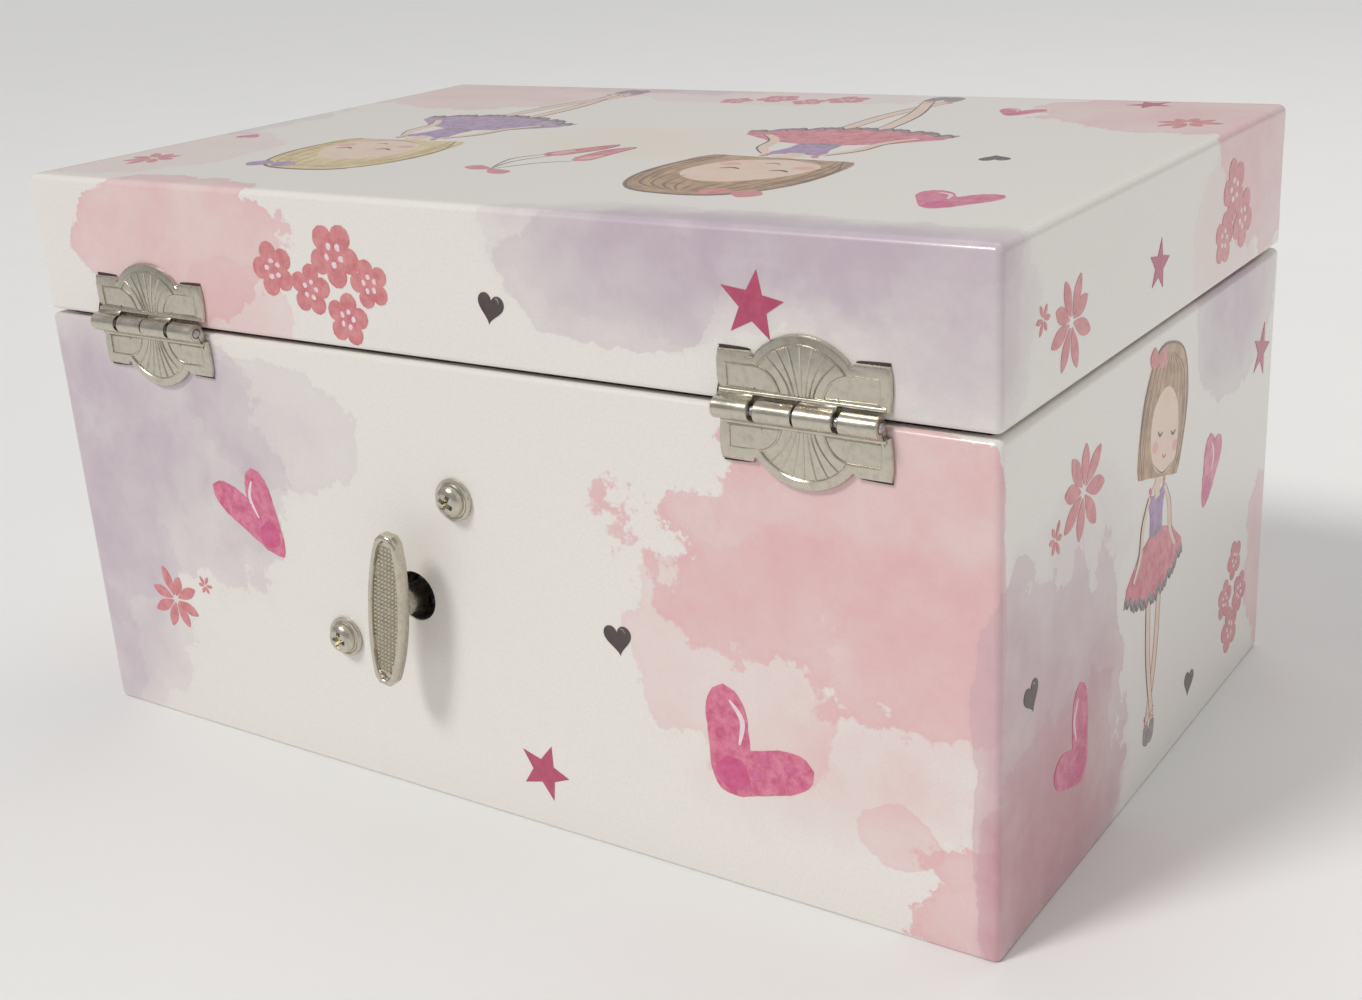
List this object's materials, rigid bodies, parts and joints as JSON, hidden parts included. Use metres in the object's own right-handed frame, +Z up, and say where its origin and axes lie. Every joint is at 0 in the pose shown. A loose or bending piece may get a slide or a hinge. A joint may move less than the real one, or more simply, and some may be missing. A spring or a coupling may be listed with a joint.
{
  "type": "ballerina jewellery box",
  "caption": "Paper-covered jewellery box with a hinged lid, a wind-up musical movement on its back wall and a dancer that stands up and turns as the lid opens",
  "frame": {"origin": "middle of the underside", "axes": "+Z up, +X along the box's length, +Y out of the back wall that carries the hinges and the winding key"},
  "size_m": [0.2, 0.1362, 0.11],
  "materials": {
    "board": "matt greyboard",
    "printed_paper": "glossy laminated printed paper",
    "plain_paper": "plain satin paper",
    "lining": "soft pink lining",
    "nickel": "bright nickel plate",
    "steel": "bright steel",
    "brass": "bright brass",
    "zinc": "die-cast zinc",
    "plastic": "moulded plastic",
    "velvet": "velvet",
    "mirror": "silvered glass",
    "figure": "painted moulded plastic",
    "tulle": "stiff net"
  },
  "bodies": {
    "base": {"bottom_sheet": "plain_paper", "base_bottom_board": "board", "base_front_board": "board", "base_back_board": "board", "base_left_board": "board", "base_right_board": "board", "base_printed_paper": "printed_paper", "base_wall_lining": "lining", "mechanism_cover": "lining", "left_rear_divider": "lining", "right_rear_divider": "lining", "front_divider": "lining", "ring_roll_shelf": "lining", "left_hinge_lower_leaf": "nickel", "right_hinge_lower_leaf": "nickel", "upper_movement_screw": "nickel", "lower_movement_screw": "nickel", "left_hinge_pin": "steel", "right_hinge_pin": "steel", "comb": "steel", "comb_screw_1": "steel", "comb_screw_2": "steel", "dancer_spring": "steel", "movement_bedplate": "zinc", "governor_bracket": "zinc", "spindle_arm": "plastic", "left_rear_pad": "velvet", "right_rear_pad": "velvet", "front_pad": "velvet", "ring_roll_1": "velvet", "ring_roll_2": "velvet", "ring_roll_3": "velvet", "ring_roll_4": "velvet"},
    "lid": {"lid_top_board": "board", "lid_front_board": "board", "lid_back_board": "board", "lid_left_board": "board", "lid_right_board": "board", "lid_printed_paper": "printed_paper", "lid_wall_lining": "lining", "lid_lining_panel": "lining", "mirror": "mirror", "mirror_frame": "plain_paper", "left_hinge_upper_leaf": "nickel", "right_hinge_upper_leaf": "nickel"},
    "winding_key": {"winding_key": "nickel", "winding_arbor": "steel"},
    "music_cylinder": {"music_cylinder": "brass", "cylinder_gear": "plastic", "spindle_drive_pinion": "plastic"},
    "spring_barrel": {"spring_barrel": "brass"},
    "governor_wheel": {"governor_wheel": "plastic"},
    "governor_fly": {"governor_worm_and_fly": "steel"},
    "transfer_wheel": {"transfer_wheel": "plastic"},
    "dancer_spindle": {"dancer_spindle": "plastic", "spindle_gear": "plastic"},
    "dancer_stem": {"dancer_ferrule": "brass"},
    "dancer": {"dancer_figure": "figure", "dancer_tutu": "tulle"},
    "stop_wire": {"stop_wire": "steel"}
  },
  "joints": [
    {"name": "lid_hinge", "type": "hinge", "parent": "base", "child": "lid", "pos_m": [0, 0.066, 0.0834], "axis": [-1, 0, 0], "range_deg": [0, 100]},
    {"name": "winding_turn", "type": "hinge", "parent": "base", "child": "winding_key", "pos_m": [0.0115, 0.064, 0.0395], "axis": [0, 1, 0], "continuous": true},
    {"name": "cylinder_turn", "type": "hinge", "parent": "base", "child": "music_cylinder", "pos_m": [0.0055, 0.0402, 0.0395], "axis": [1, 0, 0], "continuous": true},
    {"name": "barrel_turn", "type": "hinge", "parent": "base", "child": "spring_barrel", "pos_m": [0.0115, 0.052, 0.0395], "axis": [0, 1, 0], "continuous": true},
    {"name": "governor_wheel_turn", "type": "hinge", "parent": "base", "child": "governor_wheel", "pos_m": [0.0288, 0.0402, 0.05045], "axis": [1, 0, 0], "continuous": true},
    {"name": "governor_fly_spin", "type": "hinge", "parent": "base", "child": "governor_fly", "pos_m": [0.0323, 0.0402, 0.05715], "axis": [0, 1, 0], "continuous": true},
    {"name": "transfer_wheel_turn", "type": "hinge", "parent": "base", "child": "transfer_wheel", "pos_m": [-0.005, 0.0402, 0.049], "axis": [0, 0, 1], "continuous": true},
    {"name": "spindle_turn", "type": "hinge", "parent": "base", "child": "dancer_spindle", "pos_m": [0, 0.02788, 0.06], "axis": [0, 0, 1], "continuous": true},
    {"name": "dancer_fold", "type": "hinge", "parent": "base", "child": "dancer_stem", "pos_m": [0, 0.02669, 0.07362], "axis": [-1, 0, 0], "range_deg": [0, 90], "deforming": ["dancer_spring"]},
    {"name": "dancer_spin", "type": "hinge", "parent": "dancer_stem", "child": "dancer", "pos_m": [0, 0, 0.0748], "axis": [0, -1, 0], "continuous": true},
    {"name": "stop_wire_slide", "type": "slide", "parent": "base", "child": "stop_wire", "axis": [0, 0, 1], "range_m": [0, 0.004]}
  ],
  "couplings": [
    {"joint": "dancer_fold", "follows": "lid_hinge", "ratio": 0.9},
    {"joint": "stop_wire_slide", "follows": "lid_hinge", "m_per_rad": 0.0022918},
    {"joint": "barrel_turn", "follows": "cylinder_turn", "ratio": -0.66667},
    {"joint": "governor_wheel_turn", "follows": "cylinder_turn", "ratio": -2},
    {"joint": "governor_fly_spin", "follows": "cylinder_turn", "ratio": 32},
    {"joint": "transfer_wheel_turn", "follows": "cylinder_turn", "ratio": 1},
    {"joint": "spindle_turn", "follows": "cylinder_turn", "ratio": -1.2},
    {"joint": "dancer_spin", "follows": "cylinder_turn", "ratio": -1.2}
  ]
}
